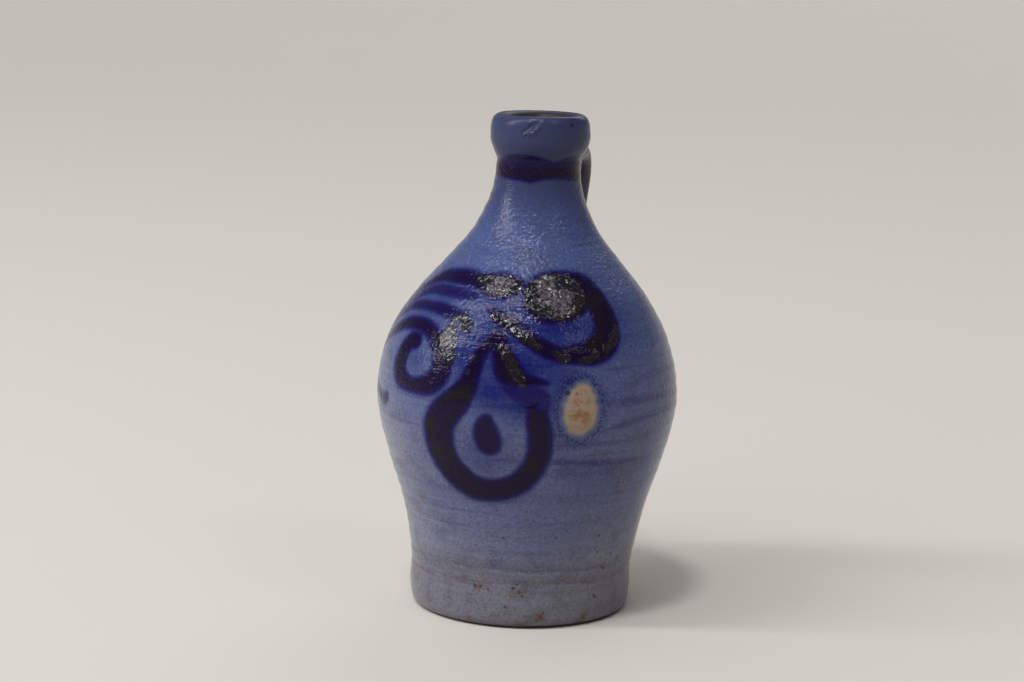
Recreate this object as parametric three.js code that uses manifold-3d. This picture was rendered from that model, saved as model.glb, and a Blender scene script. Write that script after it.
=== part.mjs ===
// A small salt-glazed stoneware jug: a body thrown in one piece, with a narrow neck and a rounded
// collar, and a pulled strap handle luted on behind with soft clay.
// Millimetres, +Z up. The origin lies under the middle of the belly, on the surface the jug stands on.
// The handle stands in the YZ plane behind the neck, and the decorated front faces -Y.

import * as THREE from "three";
import { mergeVertices } from "three/addons/utils/BufferGeometryUtils.js";
import Module from "manifold-3d";

// Driving dimensions of the body
const jugHeight = 210;
const bellyRadius = 63.9;
const bellyHeight = 92;
const footRadius = 47.4;
const contactRadius = 42.7;
const footEdgeRadius = 46.9;
const footEdgeHeight = 4;
const footEdgeRounding = 3.4;
const neckRadius = 17.5;
const creaseHeight = 191.5;
const collarRadius = 20.7;
const lipOuterRadius = 17.2;
const lipInnerRadius = 14.8;
const mouthRadius = 12.5;
const mouthRounding = 3.5;
const boreBottomHeight = 188.5;

// Thickness of the clay
const wallAtFoot = 6.8;
const wallAtNeck = 5.3;
const floorThickness = 8;
const floorCornerHeight = 22;
const floorCornerReach = 14;
const floorRise = 0.4;
const baseRingWidth = 8;
const baseHollow = 1.2;
const baseHollowSlope = 4;

// Two fine grooves cut in above the foot band while the pot turned
const grooveHeights = [19, 25.2];
const grooveDepth = 0.45;
const grooveHalfWidth = 0.9;

// Driving dimensions of the handle
const handleWidthAtNeck = 26;
const handleWidthAtShoulder = 18.5;
const handleThickness = 8;
const handleReach = 47;
const handleTopHeight = 191.5;
const shoulderJointRadius = 43.5;
const shoulderJointHeight = 141;
const thumbChannelDepth = 0.9;

// Soft clay between the handle and the wall
const lutingThickness = 1.5;
const pieceGap = 0.3;
const neckPadSize = new THREE.Vector3(15.2, 7.5, 7.8);
const shoulderPadSize = new THREE.Vector3(12.5, 15, 3.6);
const shoulderSlope = -0.87;

// How finely the round forms are divided
const turns = 56;
const wallSteps = 26;
const insideSteps = 13;
const handleSteps = 24;
const smallestStep = 0.3;

// The outer wall from the rounded edge of the foot up to the crease under the collar: [radius, height]
const wallOutline = splineThrough([
  [footEdgeRadius, footEdgeHeight],
  [footRadius, 10],
  [47.2, 18],
  [48.8, 30],
  [52.3, 46],
  [57.8, 63],
  [62.3, 79.5],
  [bellyRadius, bellyHeight],
  [62.2, 106],
  [57.2, 120.5],
  [48, 135],
  [36.6, 148.5],
  [27.2, 160],
  [21.2, 171.5],
  [18.2, 181.5],
  [neckRadius, creaseHeight],
]);

// The collar from the crease up and over to its flat lip: [radius, height]
const collarOutline = splineThrough([
  [17.8, creaseHeight + 0.5],
  [19.3, 195.2],
  [20.5, 198.7],
  [collarRadius, 202.5],
  [20.2, 206.6],
  [18.8, 209.2],
  [lipOuterRadius, jugHeight],
]);

// The pot was thrown a little out of true, so its axis wanders sideways: [offset, height]
const axisWander = splineThrough([
  [-1, 0],
  [-1.1, 12],
  [-0.4, 28],
  [0, 45],
  [0, bellyHeight],
  [0, 118],
  [1, 141],
  [1.7, 165],
  [2.1, 188],
  [2.5, 198],
  [2.5, jugHeight],
]);

const wasm = await Module();
wasm.setup();

function splineThrough(stations) {
  return new THREE.SplineCurve(stations.map(([x, y]) => new THREE.Vector2(x, y)));
}

// Reads a curve that climbs steadily: its x at the given height.
function acrossAt(curve, height) {
  let low = 0;
  let high = 1;
  for (let i = 0; i < 40; i++) {
    const middle = (low + high) / 2;
    if (curve.getPoint(middle).y < height) low = middle;
    else high = middle;
  }
  return curve.getPoint((low + high) / 2).x;
}

function grooveAt(height) {
  const depths = grooveHeights.map((groove) => {
    const away = Math.abs(height - groove) / grooveHalfWidth;
    return grooveDepth * Math.max(0, 1 - away);
  });
  return Math.max(...depths);
}

function outsidePoint(height) {
  return new THREE.Vector2(acrossAt(wallOutline, height) - grooveAt(height), height);
}

// The inner face lies one wall thickness inside the outer face, measured square to it.
function insidePoint(height) {
  const rise = 1;
  const run = acrossAt(wallOutline, height + rise / 2) - acrossAt(wallOutline, height - rise / 2);
  const share = (height - footEdgeHeight) / (creaseHeight - footEdgeHeight);
  const wall = THREE.MathUtils.lerp(wallAtFoot, wallAtNeck, share);
  const level = (wall * Math.hypot(rise, run)) / rise;
  return new THREE.Vector2(Math.max(mouthRadius, acrossAt(wallOutline, height) - level), height);
}

function wallHeights() {
  const heights = [];
  for (let i = 0; i <= wallSteps; i++) heights.push(wallOutline.getPoint(i / wallSteps).y);
  for (const groove of grooveHeights) {
    heights.push(groove - grooveHalfWidth, groove, groove + grooveHalfWidth);
  }
  heights.sort((a, b) => a - b);
  return heights.filter((height, i) => i === 0 || height - heights[i - 1] > smallestStep);
}

// The outside of the pot, from the middle of its underside to the outer edge of the lip.
function outsideOutline() {
  const ringInner = contactRadius - baseRingWidth;
  const footEdge = new THREE.QuadraticBezierCurve(
    new THREE.Vector2(contactRadius, 0),
    new THREE.Vector2(contactRadius + footEdgeRounding, 0),
    new THREE.Vector2(footEdgeRadius, footEdgeHeight),
  );
  return [
    new THREE.Vector2(0, baseHollow),
    new THREE.Vector2(ringInner - baseHollowSlope, baseHollow),
    new THREE.Vector2(ringInner, 0),
    ...footEdge.getPoints(5).slice(0, -1),
    ...wallHeights().map(outsidePoint),
    ...collarOutline.getPoints(10),
  ];
}

// The inside of the pot, from the lip down the bore and the wall to the middle of the floor.
function insideOutline() {
  const lipCurve = new THREE.QuadraticBezierCurve(
    new THREE.Vector2(lipInnerRadius, jugHeight),
    new THREE.Vector2(mouthRadius, jugHeight),
    new THREE.Vector2(mouthRadius, jugHeight - mouthRounding),
  );
  const wall = [];
  for (let i = 0; i <= insideSteps; i++) {
    wall.push(insidePoint(THREE.MathUtils.lerp(boreBottomHeight, floorCornerHeight, i / insideSteps)));
  }
  const cornerTop = wall[wall.length - 1];
  const floorCorner = new THREE.QuadraticBezierCurve(
    cornerTop,
    new THREE.Vector2(cornerTop.x, floorThickness + floorRise),
    new THREE.Vector2(cornerTop.x - floorCornerReach, floorThickness + floorRise),
  );
  return [
    ...lipCurve.getPoints(4),
    ...wall,
    ...floorCorner.getPoints(5).slice(1),
    new THREE.Vector2(0, floorThickness),
  ];
}

function turned(outline) {
  return new THREE.LatheGeometry(outline, turns).rotateX(Math.PI / 2);
}

function solidFrom(geometry) {
  const bare = geometry.clone();
  bare.deleteAttribute("normal");
  bare.deleteAttribute("uv");
  const merged = mergeVertices(bare, 1e-3);
  return new wasm.Manifold(
    new wasm.Mesh({
      numProp: 3,
      vertProperties: merged.attributes.position.array,
      triVerts: new Uint32Array(merged.index.array),
    }),
  );
}

function geometryFrom(solid) {
  const mesh = solid.getMesh();
  const geometry = new THREE.BufferGeometry();
  geometry.setAttribute("position", new THREE.BufferAttribute(mesh.vertProperties, 3));
  geometry.setIndex(new THREE.BufferAttribute(mesh.triVerts, 1));
  return geometry;
}

// Everything is shaped about a straight axis and then follows the wandering axis of the thrown pot.
function followAxis(geometry) {
  const place = geometry.getAttribute("position");
  for (let i = 0; i < place.count; i++) {
    place.setX(i, place.getX(i) + acrossAt(axisWander, place.getZ(i)));
  }
  geometry.computeVertexNormals();
  return geometry;
}

// The pot without its hollow, grown by an allowance: it trims what is luted onto the wall.
function trimmer(allowance) {
  const outline = outsideOutline().map((point) => new THREE.Vector2(point.x + allowance, point.y));
  outline[0].x = 0;
  outline.push(new THREE.Vector2(0, jugHeight));
  return solidFrom(turned(outline));
}

// The middle line of the strap, in the YZ plane: out from the neck, over, and down onto the shoulder.
const handleLine = new THREE.CatmullRomCurve3([
  new THREE.Vector3(0, 10, handleTopHeight - 7),
  new THREE.Vector3(0, neckRadius + 3, handleTopHeight - 4),
  new THREE.Vector3(0, neckRadius + 13, handleTopHeight),
  new THREE.Vector3(0, handleReach - 7.5, handleTopHeight - 1.5),
  new THREE.Vector3(0, handleReach - 1.5, handleTopHeight - 8.5),
  new THREE.Vector3(0, handleReach, handleTopHeight - 20),
  new THREE.Vector3(0, handleReach - 0.9, handleTopHeight - 33),
  new THREE.Vector3(0, shoulderJointRadius + 2.1, shoulderJointHeight + 4.5),
  new THREE.Vector3(0, shoulderJointRadius + 2.6, shoulderJointHeight - 2),
  new THREE.Vector3(0, shoulderJointRadius + 4.2, shoulderJointHeight - 8),
  new THREE.Vector3(0, shoulderJointRadius + 4.6, shoulderJointHeight - 14),
]);

// Across the strap: rounded edges, and a shallow channel that the thumb left along its outer face.
function strapSection(allowance) {
  const half = handleWidthAtNeck / 2 + allowance;
  const deep = handleThickness / 2 + allowance;
  const flat = half - deep;
  const section = new THREE.Shape();
  section.moveTo(-flat, -deep);
  section.quadraticCurveTo(0, -deep + 2 * thumbChannelDepth, flat, -deep);
  section.absarc(flat, 0, deep, -Math.PI / 2, Math.PI / 2, false);
  section.lineTo(-flat, deep);
  section.absarc(-flat, 0, deep, Math.PI / 2, 1.5 * Math.PI, false);
  return section;
}

function strap(allowance) {
  const geometry = new THREE.ExtrudeGeometry(strapSection(allowance), {
    steps: handleSteps,
    curveSegments: 4,
    bevelEnabled: false,
    extrudePath: handleLine,
  });
  const place = geometry.getAttribute("position");
  for (let i = 0; i < place.count; i++) {
    const drop = (handleTopHeight - place.getZ(i)) / (handleTopHeight - shoulderJointHeight);
    const left = (1 - THREE.MathUtils.clamp(drop, 0, 1)) ** 2;
    const width = THREE.MathUtils.lerp(handleWidthAtShoulder, handleWidthAtNeck, left);
    place.setX(i, (place.getX(i) * width) / handleWidthAtNeck);
  }
  return solidFrom(geometry);
}

function pad(size, centre, tilt) {
  const geometry = new THREE.SphereGeometry(1, 24, 14);
  geometry.scale(size.x, size.y, size.z);
  geometry.rotateX(tilt);
  geometry.translate(centre.x, centre.y, centre.z);
  return solidFrom(geometry);
}

function thrownBody() {
  return geometryFrom(solidFrom(turned([...outsideOutline(), ...insideOutline()])));
}

const untrimmedStrap = strap(0);
const strapWithGap = strap(pieceGap).subtract(trimmer(lutingThickness - pieceGap));

function handle() {
  return geometryFrom(untrimmedStrap.subtract(trimmer(lutingThickness)));
}

// A pad of soft clay fills the joint and is wiped up around the end of the strap.
function jointClay(size, centre, tilt) {
  return geometryFrom(pad(size, centre, tilt).subtract(trimmer(pieceGap)).subtract(strapWithGap));
}

const glazedClay = { roughness: 0.42, metalness: 0 };
const finishes = {
  thrown_body: new THREE.MeshStandardMaterial({ color: 0x5c6278, ...glazedClay }),
  handle: new THREE.MeshStandardMaterial({ color: 0x564f58, ...glazedClay }),
  upper_joint_clay: new THREE.MeshStandardMaterial({ color: 0x4a4656, ...glazedClay }),
  lower_joint_clay: new THREE.MeshStandardMaterial({ color: 0x5a5a68, ...glazedClay }),
};

const neckJoint = new THREE.Vector3(0, neckRadius - 1, handleTopHeight - 4.5);
const shoulderJoint = new THREE.Vector3(0, shoulderJointRadius + 1.7, shoulderJointHeight - 3.5);
const shapes = {
  thrown_body: thrownBody(),
  handle: handle(),
  upper_joint_clay: jointClay(neckPadSize, neckJoint, 0),
  lower_joint_clay: jointClay(shoulderPadSize, shoulderJoint, shoulderSlope),
};

const jug = new THREE.Group();
jug.name = "stoneware_jug";
for (const [name, shape] of Object.entries(shapes)) {
  const piece = new THREE.Mesh(followAxis(shape), finishes[name]);
  piece.name = name;
  jug.add(piece);
}

export default jug;
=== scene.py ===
import math

import bmesh
import bpy
import numpy as np
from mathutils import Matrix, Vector, noise


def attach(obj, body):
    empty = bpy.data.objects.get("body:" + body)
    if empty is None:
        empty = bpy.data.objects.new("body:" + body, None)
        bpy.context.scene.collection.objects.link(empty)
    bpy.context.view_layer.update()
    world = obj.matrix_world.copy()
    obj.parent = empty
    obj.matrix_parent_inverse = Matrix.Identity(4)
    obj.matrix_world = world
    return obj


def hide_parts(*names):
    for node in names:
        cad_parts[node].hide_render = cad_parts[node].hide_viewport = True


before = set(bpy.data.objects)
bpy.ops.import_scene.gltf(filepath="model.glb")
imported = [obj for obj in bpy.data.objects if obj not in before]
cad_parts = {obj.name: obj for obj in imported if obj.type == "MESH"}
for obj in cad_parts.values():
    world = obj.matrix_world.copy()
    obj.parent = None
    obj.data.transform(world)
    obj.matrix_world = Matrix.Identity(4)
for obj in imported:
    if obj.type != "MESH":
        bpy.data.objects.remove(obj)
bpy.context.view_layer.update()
mm = 0.001  # the numbers below are millimetres and degrees unless they say otherwise


# Lines through stations

def smoothLine(stations, parts):  # runs smoothly through every station
    rows = np.array([stations[0], *stations, stations[-1]], float)
    t = (np.arange(parts) / parts)[:, None]
    spans = []
    for a, b, c, d in zip(rows, rows[1:], rows[2:], rows[3:]):
        bend = 2 * a - 5 * b + 4 * c - d + t * (3 * (b - c) + d - a)
        spans.append(b + 0.5 * t * (c - a + t * bend))
    return np.vstack([*spans, rows[-1:]])


def cornerLine(start, corner, end, parts):  # rounds a corner off
    t = np.linspace(0, 1, parts + 1)[:, None]
    start, corner, end = np.array(start), np.array(corner), np.array(end)
    return (1 - t) ** 2 * start + 2 * t * (1 - t) * corner + t ** 2 * end


# The thrown body: radius and height of its faces

body = {
    "wall": [(46.9, 4), (47.4, 10), (47.2, 18), (48.8, 30), (52.3, 46), (57.8, 63), (62.3, 79.5), (63.9, 92),
             (62.2, 106), (57.2, 120.5), (48, 135), (36.6, 148.5), (27.2, 160), (21.2, 171.5), (18.2, 181.5),
             (17.5, 191.5)],
    "collar": [(17.5, 191.5), (17.8, 192), (19.3, 195.2), (20.5, 198.7), (20.7, 202.5), (20.2, 206.6),
               (18.8, 209.2), (17.2, 210)],
    "lean": [(-1, 0), (-1.1, 12), (-0.4, 28), (0, 45), (0, 92), (0, 118), (1, 141), (1.7, 165), (2.1, 188),
             (2.5, 198), (2.5, 210)],  # the axis wanders sideways: offset and height
    "contactRadius": 42.7,
    "heel": 3.4,  # how far the rounded heel bulges past the contact ring
    "ringWidth": 8,
    "ringSlope": 4,
    "hollowDepth": 1.2,
    "baseRadii": [0, 12, 22],  # rings of points under the hollow base
    "grooves": [19, 25.2],  # heights of the fine grooves above the foot
    "grooveDepth": 0.42,
    "grooveHalfWidth": 1.2,
    "grooveShape": 0.7,  # below 1 it is fuller, above 1 it is sharper
    "mouthRadius": 12.5,
    "lipInnerRadius": 16.4,
    "lipCorner": (0.8, 1.2),  # how far the corner of the lip stands off the bore and below the top
    "mouthRounding": 5.5,
    "boreBottom": 188.5,
    "wallAtFoot": 6.8,  # the wall thins evenly from here to the neck
    "wallAtNeck": 5.3,
    "floorThickness": 8,
    "floorEdge": 0.4,  # the floor is this much thicker at its edge
    "floorCorner": 22,
    "floorCornerWidth": 14,
    "skin": 2,  # what lies deeper than this under the outer face belongs to the hollow
    "columns": 336,
    "rows": {  # how far apart the rows of the mesh stand, up to each height
        "outside": [(5, 0.5), (190, 1.25), (193.5, 0.5), (220, 0.8)],
        "inside": [(186, 5), (220, 1.2)],
        "grooves": 0.4,
    },
    "ringRise": 5.6,  # the throwing spiral climbs this much a turn
    "ringDepth": 0.11,
    "ringSpan": (2, 209),  # heights between which the rings run
    "ringFade": (20, 12),  # they fade in and out over these lengths
    # slow waves round the wall, and more of them on the collar: size, how many, phase, and climb of a twist
    "wobble": [(0.16, 2, 0, 60), (0.1, 3, 1, -45)],
    "collarWobble": [(0.14, 4, 0.8, math.inf), (0.1, 7, 0, 5)],
    "collarFrom": 193,
    # the crest of the mouth, painted dark brown, and where the painted shade of the hollow ends in it
    "crest": {"radius": 16.3, "height": 210, "halfWidth": 1.9, "halfHeight": 0.9},
    "mouthShade": (208.6, 1.4),
}

wallLine = smoothLine(body["wall"], 60)
collarLine = smoothLine(body["collar"], 24)
leanLine = smoothLine(body["lean"], 24)
outerLine = np.vstack([wallLine, collarLine[1:]])


def wallRadius(height):
    return np.interp(height, outerLine[:, 1], outerLine[:, 0])


def wallSlope(height):  # how much the wall runs outwards for each millimetre that it climbs
    return wallRadius(height + 0.5) - wallRadius(height - 0.5)


def leanAt(height):
    return np.interp(height, leanLine[:, 1], leanLine[:, 0])


def isOuter(radius, height):  # on the outer face and not in the hollow
    return radius > wallRadius(height) - body["skin"]


def groovedWall():
    line = wallLine.copy()
    for groove in body["grooves"]:
        cut = np.clip(1 - np.abs(line[:, 1] - groove) / body["grooveHalfWidth"], 0, 1)
        line[:, 0] -= body["grooveDepth"] * cut ** body["grooveShape"]
    return line


def insideWall():
    height = np.linspace(body["boreBottom"], body["floorCorner"], 160)
    foot, neck = wallLine[[0, -1], 1]
    share = (height - foot) / (neck - foot)
    wall = body["wallAtFoot"] + (body["wallAtNeck"] - body["wallAtFoot"]) * share
    level = wall * np.hypot(1, wallSlope(height))
    return np.column_stack([np.maximum(body["mouthRadius"], wallRadius(height) - level), height])


def rowStep(height, side):  # how far apart the rows of the mesh stand
    rows = body["rows"]
    offGroove = min(abs(height - groove) for groove in body["grooves"]) - body["grooveHalfWidth"]
    if side == "outside" and offGroove < rows["grooves"]:
        return rows["grooves"]
    return next(step for top, step in rows[side] if height <= top)


def bodyOutline():
    ringInner = body["contactRadius"] - body["ringWidth"]
    top = collarLine[-1]
    bore = body["mouthRadius"]
    lipOut, lipDown = body["lipCorner"]
    inner = insideWall()
    corner = inner[-1]
    floorHeight = body["floorThickness"] + body["floorEdge"]
    floorStart = (corner[0] - body["floorCornerWidth"], floorHeight)
    outside = np.vstack([
        cornerLine((body["contactRadius"], 0), (body["contactRadius"] + body["heel"], 0), wallLine[0], 12),
        groovedWall()[1:],
        collarLine[1:],
    ])
    inside = np.vstack([
        cornerLine((body["lipInnerRadius"], top[1]), (bore + lipOut, top[1] - lipDown),
                   (bore, top[1] - body["mouthRounding"]), 14),
        inner,
        cornerLine(corner, (corner[0], floorHeight), floorStart, 12)[1:],
    ])
    rows = [(radius, body["hollowDepth"]) for radius in (*body["baseRadii"], ringInner - body["ringSlope"])]
    rows += [(ringInner, 0), tuple(outside[0])]
    for line, side in ((outside, "outside"), (inside, "inside")):
        travelled = 0
        for before, point in zip(line, line[1:]):
            travelled += math.dist(before, point)
            if travelled >= rowStep(point[1], side):
                rows.append(tuple(point))
                travelled = 0
    rows += [(radius, body["floorThickness"]) for radius in reversed(body["baseRadii"][:2])]
    return rows


# The brushed ornament: azimuth from the front towards +X, height, and half the width of the stroke

ornament = {
    "strokes": {  # the load of cobalt, then the line of the brush
        "topStroke": (0.85, [
            (-79, 123.8, 0.5), (-72, 131, 1), (-65, 136, 1.4), (-60, 138.4, 1.8), (-55, 140.6, 2.1),
            (-50, 142.4, 2.6), (-45, 143.6, 2.9), (-40, 144, 3.2), (-34, 144.3, 3.5), (-28, 144.4, 3.6),
            (-22, 144.2, 3.5), (-17, 143.7, 3.6), (-12, 143.2, 4.5), (-7, 142.6, 5.6), (-2.5, 142.4, 6.1),
            (1.5, 142.6, 5.6), (5, 143, 3.6), (9, 143.2, 1.9), (11.8, 143, 0.5)]),
        "secondStroke": (0.35, [
            (-77, 120, 0.5), (-70, 126.5, 0.9), (-64, 131, 1.1), (-60, 133.2, 1.3), (-55, 135.6, 1.6),
            (-50, 137.3, 1.9), (-45, 138.2, 2.1), (-40, 138.6, 2.2), (-35, 138.7, 2.3), (-30, 138.7, 2.3),
            (-25, 138.5, 2.2), (-20, 138.3, 1.8), (-16, 138.1, 1.2), (-13.8, 138, 0.5)]),
        "thirdStroke": (0.6, [
            (-76, 115.5, 0.5), (-69, 122, 0.9), (-63, 126.8, 1.2), (-58, 129.2, 1.5), (-54, 130.6, 1.7),
            (-50, 131.3, 1.9), (-45, 131.8, 2), (-40, 132, 2.1), (-35, 132.1, 2.2), (-30, 131.8, 2.4),
            (-25, 131.2, 2.4), (-20.5, 130.4, 1.9), (-17, 129.4, 1.4), (-14.8, 128.4, 1)]),
        "smallScroll": (0.9, [
            (-75, 108, 0.6), (-69, 113, 1.3), (-64, 116.8, 1.8), (-60, 119.5, 2.2), (-55, 121.9, 2.4),
            (-50, 123.8, 2.5), (-45, 124.7, 2.7), (-40, 124.9, 2.9), (-35.5, 124.6, 2.9),
            (-31.5, 123.6, 2.9), (-27.5, 121.6, 3.1), (-24, 118.5, 3.5), (-21.2, 114.4, 4.1),
            (-19.8, 110, 4.8), (-21.2, 106, 4.9), (-24.8, 103, 4.3), (-30, 101.4, 3.1), (-35.5, 101.4, 2.8),
            (-40.4, 103.2, 3.8), (-43.4, 107, 4.3), (-43.4, 111.5, 4.2), (-42.2, 115.5, 4),
            (-40, 118.2, 3.6), (-37.8, 118.8, 3.4), (-36.8, 118, 3)]),
        "bigScroll": (1, [
            (-7, 134.8, 0.4), (-3.5, 133.4, 1.5), (0, 131.8, 2.6), (4, 130, 3.1), (8, 128.2, 3.3),
            (12.5, 125.5, 3.5), (18, 122.2, 3.5), (24, 119.2, 3.5), (30, 118, 3.6), (36, 118.2, 4.4),
            (42, 119.2, 5.7), (47.5, 122, 6.2), (50.5, 126.2, 6.2), (51, 131, 5.9), (50, 135.5, 5.6),
            (47.5, 139.5, 5.9), (43.5, 142.8, 5.8), (39, 144.5, 5), (35, 144.8, 4)]),
        "bulb": (1, [(24, 138.8, 11.4), (28, 139.2, 12), (31.8, 139.6, 11.5), (36, 140, 9.2)]),
        "loop": (1, [
            (1.8, 123.8, 3.7), (-0.8, 121.8, 3), (-2.9, 119.2, 2.8), (-4.4, 115.8, 2.9), (-5.8, 111.5, 3.4),
            (-6.8, 107.5, 3.9), (-8.2, 103.5, 4.6), (-11.2, 98.5, 5.8), (-15.5, 93.5, 6.5),
            (-18.5, 88.5, 6.8), (-19.4, 82.5, 7), (-18.5, 75.5, 6.5), (-15.5, 69.5, 6.1), (-11, 65, 5.8),
            (-7, 62.3, 5.4), (-2.2, 61.2, 5), (3.2, 61.3, 4.7), (8.8, 63, 4.6), (13.8, 66.2, 4.6),
            (17.5, 71, 4.6), (19.6, 76.2, 4.6), (20.3, 80.5, 4.7), (20.1, 86, 4.8), (19.3, 91, 4.7),
            (18.7, 95.3, 4.2), (18.3, 98.8, 3.5)]),
        "loopShoulder": (1, [
            (1.8, 123.8, 3.4), (3.8, 120, 3.9), (5.8, 115.5, 4.8), (7.8, 111.5, 5.7), (10.6, 108.8, 4.4),
            (15, 107.8, 2.8), (19.5, 107.5, 1.5), (22.6, 107.1, 0.6)]),
        "loopWash": (0.12, [
            (7.2, 105.5, 1.5), (10, 103.8, 2.7), (13.5, 102.8, 3.9), (17, 101.5, 4.5), (19.5, 100, 4.4),
            (19, 96, 3.8)]),
        "drop": (0.85, [(0.6, 91.8, 2), (0, 88.8, 4), (0.4, 85.5, 5.2), (1.2, 82.2, 5.1), (2, 80.6, 3.4)]),
        "dash": (0.9, [
            (-67, 95.4, 0.7), (-62, 94, 1.2), (-58, 92.2, 1.5), (-55, 91.2, 1.8), (-52.4, 91.8, 1.9),
            (-51, 93, 1.5)]),
        "blot": (1, [(-16, 127.8, 1.1), (-14.2, 126.8, 2), (-13, 127.2, 1.6), (-11.8, 127.8, 0.7)]),
    },
    "crusts": {  # thick cobalt that boiled up: how high it stands, how wide its lumps are, and its line
        "leaf": (0.5, 1.5, [
            (-18, 145.2, 0.8), (-14, 144.4, 2), (-9, 143.8, 3.3), (-3, 143, 4.6), (1, 142.6, 4.3),
            (4.6, 143, 3), (8, 143, 1.1)]),
        "bulb": (1.1, 3, [(21.6, 139.3, 8), (25, 139.6, 10.2), (29, 139.7, 10.6), (33, 140, 8.4)]),
        "scrollTop": (1, 3, [(-20.4, 129.2, 1.2), (-17.6, 130, 1.9), (-15, 128.6, 2.4), (-12.8, 126, 1.5)]),
        "scrollSide": (0.35, 2, [
            (-20.6, 127, 2.2), (-20.8, 123.6, 3.6), (-20.2, 120.2, 3.9), (-18, 116.4, 3.2),
            (-15.6, 113, 1.7)]),
        "loopShoulder": (0.6, 2, [
            (4, 119.8, 1.5), (6.2, 117.8, 2.4), (8, 114.8, 2.2), (9.8, 111.8, 2.4), (12, 108.6, 2),
            (13.5, 106, 0.9)]),
        "loopLeft": (0.3, 1.3, [(-6.6, 115.8, 0.3), (-7.2, 113, 0.7), (-7.8, 110.2, 0.5)]),
        "bigScrollStart": (0.4, 1.3, [
            (-3, 131.8, 0.5), (1, 130, 1.1), (7, 127, 1.1), (13.6, 123.6, 1.4), (18, 121.2, 1.2)]),
        "bigScrollFoot": (0.6, 1.8, [(25.5, 118.2, 1.1), (28, 117, 1.9), (31, 117, 1.5)]),
        "bigScrollBottom": (0.5, 1.4, [(36, 115.4, 0.8), (40.3, 116, 1.7), (44, 118, 1.4)]),
        "bigScrollEdge": (0.5, 1.4, [(47, 119.2, 1), (51, 121.2, 1.8), (54, 124.6, 1.6), (55, 127.5, 0.9)]),
    },
    "paleSkinAndSheen": [  # where a crust is pale: partly pale from drying, as on the leaf, and partly painted sheen of the light, as on the bulb and the scroll's side: azimuth, height, half width, half height, strength
        (-4, 143, 10, 5, 1), (22, 145, 7, 5, 0.95), (31, 138.6, 8, 5, 0.95), (21, 136, 7, 5, 0.6),
        (-20, 121, 6, 9, 0.9), (-17, 129.5, 5, 3, 0.45), (5.5, 118.6, 3, 3, 0.4),
    ],
    "washes": [  # bright thin cobalt round the strokes: azimuth, height, half width, half height, strength
        (-3, 124, 16, 15, 1), (12, 112, 12, 12, 1), (30, 127, 22, 9, 1), (14, 134, 10, 8, 0.9),
        (-8, 103, 9, 9, 0.5), (-34, 112, 7, 7, 0.5), (56, 132, 10, 11, 0.4), (14, 98, 8, 8, 0.8),
        (-35, 136, 22, 5, 0.55), (26, 107, 10, 7, 0.6), (38, 100, 14, 10, 0.3), (57, 196, 9, 2, 0.4),
        (2, 102, 9, 8, 0.95), (18, 97, 7, 6, 0.8), (24, 115, 10, 6, 0.6), (-12, 116, 7, 8, 0.7),
        (46, 66, 14, 8, 0.3), (0, 76, 13, 12, 0.4), (28, 84, 8, 12, 0.35),
    ],
    "wipes": [  # thin bands of cobalt that a sponge drew round the belly: strength, then the line
        (1, [
            (22, 75, 0.6), (30, 74.4, 1.4), (45, 73, 1.8), (60, 72.2, 1.6), (70, 71.4, 1.2),
            (84, 71, 0.5)]),
        (0.7, [(26, 81.6, 0.5), (40, 81.4, 1.1), (60, 82, 1), (84, 83, 0.6)]),
        (1, [
            (44, 86.4, 0.4), (49, 87.8, 0.9), (54, 88.9, 1.2), (61.5, 90, 1.1), (71, 91, 1),
            (84, 91.8, 0.8)]),
        (0.7, [(46, 97.4, 0.5), (55, 97.8, 1.6), (67, 97.8, 1.8), (88, 97.4, 1)]),
        (0.6, [(0, 74.9, 0.5), (6, 75.2, 1.1), (12, 75, 0.9)]),
        (0.35, [(-50, 61, 0.5), (-20, 59, 1.4), (30, 58.4, 1.5), (80, 59, 0.8)]),
        (0.4, [(50, 105, 0.5), (66, 106, 1.6), (92, 107.4, 0.8)]),
    ],
    # a scar where the glaze is missing
    "bare": [
        (36.2, 104.6, 3.8), (35.6, 102, 6), (35.2, 98.6, 8), (34.8, 95, 8.6), (34.8, 92, 7.6),
        (34.8, 90.4, 6)],
    # places of the ground painted lighter as painted light, mostly on the lit left side, given like the
    # washes
    "paintedLightPlaces": [
        (-56, 74, 22, 18, 0.6), (-48, 44, 24, 18, 0.45), (-62, 100, 14, 16, 0.3), (62, 30, 22, 12, 0.3)],
    "neckBands": [  # painted rings round the neck: load, then azimuth with the lower and the upper edge
        (1, [
            (-154, 190, 187), (-148, 186.4, 190), (-138, 184.8, 191.2), (-100, 184.4, 191),
            (-70, 184.6, 190.4), (-47, 184.2, 189.8), (-25, 183.8, 190), (-9, 183.4, 190.4),
            (5, 182.8, 190.4), (24, 184.2, 190.2), (40, 184.6, 190), (63, 183.6, 190.2), (93, 182.8, 190.6),
            (138, 184.8, 191.2), (148, 186.4, 190), (154, 190, 187)]),
        (0.65, [
            (-64, 190, 189), (-50, 188.4, 191.6), (-38, 188.4, 192.4), (-26, 188.4, 193.5),
            (-10, 188.4, 194.3), (3, 188.4, 194.2), (16, 188.4, 193.4), (27, 188.4, 192.2),
            (36, 188.4, 191.2), (45, 188.4, 192), (54, 188.4, 193.2), (72, 188.4, 193.4),
            (90, 188.4, 192.2), (100, 190, 189)]),
    ],
    # a dent on the collar's front, with smears of clay beside it
    "dent": [(-3, 204.2, 0.5), (1.6, 205.4, 0.7), (6, 206.4, 1.3), (10, 207.2, 0.9)],
    "smears": [(-4, 202.8, 0.3), (0, 203.2, 0.6), (4.3, 203.1, 0.8), (9.2, 204.4, 0.8), (12.7, 205.6, 0.6)],
    "bandSharpness": 1.7,
    "wipeSoftness": 1.6,
    "dentDepth": 0.6,
    "smearHeight": 0.45,
    "crustRaggedness": 0.75,
    "seed": 1,  # of the noise that warps the lumps, which else starts anew in each run
    "paintReach": 3,  # nothing that stands this far off the wall is painted
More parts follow.
